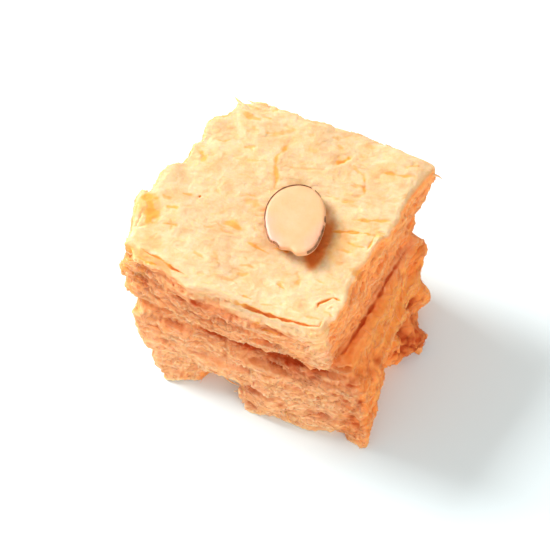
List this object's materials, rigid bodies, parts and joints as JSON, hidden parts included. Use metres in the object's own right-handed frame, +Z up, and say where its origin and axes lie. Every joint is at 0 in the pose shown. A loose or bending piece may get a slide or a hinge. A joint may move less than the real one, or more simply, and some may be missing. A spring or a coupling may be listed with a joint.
{
  "type": "soan papdi",
  "caption": "Square-cut piece of flaky pulled-sugar sweet in two slipped halves of thin layers, with an almond slice pressed on top.",
  "frame": {"origin": "middle of the bounding rectangle at the flat underside, where the piece rests", "axes": "+Z up through the layers, +X to the right along the front face, +Y to the back"},
  "size_m": [0.0468, 0.0422, 0.0261],
  "materials": {
    "pulled_sugar": "dry flaky pulled sugar, cream on top and peach orange in the torn layers, soft matte with a faint silky sheen",
    "almond": "cut almond flesh, smooth cream with a slight oily sheen, and a thin brown skin round the rim"
  },
  "bodies": {
    "root": {"sweet_block": "pulled_sugar", "almond_slice": "almond"}
  },
  "joints": []
}
